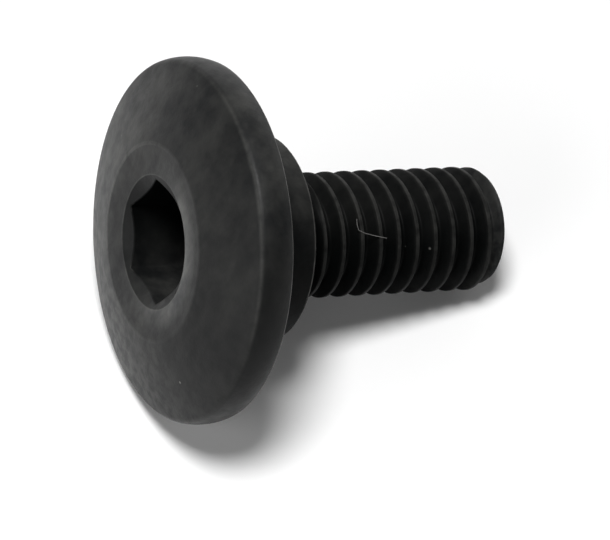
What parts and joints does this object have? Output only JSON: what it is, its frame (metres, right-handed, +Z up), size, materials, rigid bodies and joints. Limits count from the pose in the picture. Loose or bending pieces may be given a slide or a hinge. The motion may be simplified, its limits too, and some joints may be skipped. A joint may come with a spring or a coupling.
{
  "type": "button head socket screw",
  "caption": "Short machine screw with a wide, low button head, hexagon socket, locating collar under the head and a metric thread.",
  "frame": {"origin": "centre of the bottom of the bounding box, on the surface the screw lies on", "axes": "+Z up; the screw lies on its rim and the end of its thread, its axis in the XZ plane, head towards -X, tip towards +X and 21 degrees down"},
  "size_m": [0.0192, 0.0172, 0.0163],
  "materials": {
    "screw": "matt black oxide"
  },
  "bodies": {
    "root": {"screw": "screw"}
  },
  "joints": []
}
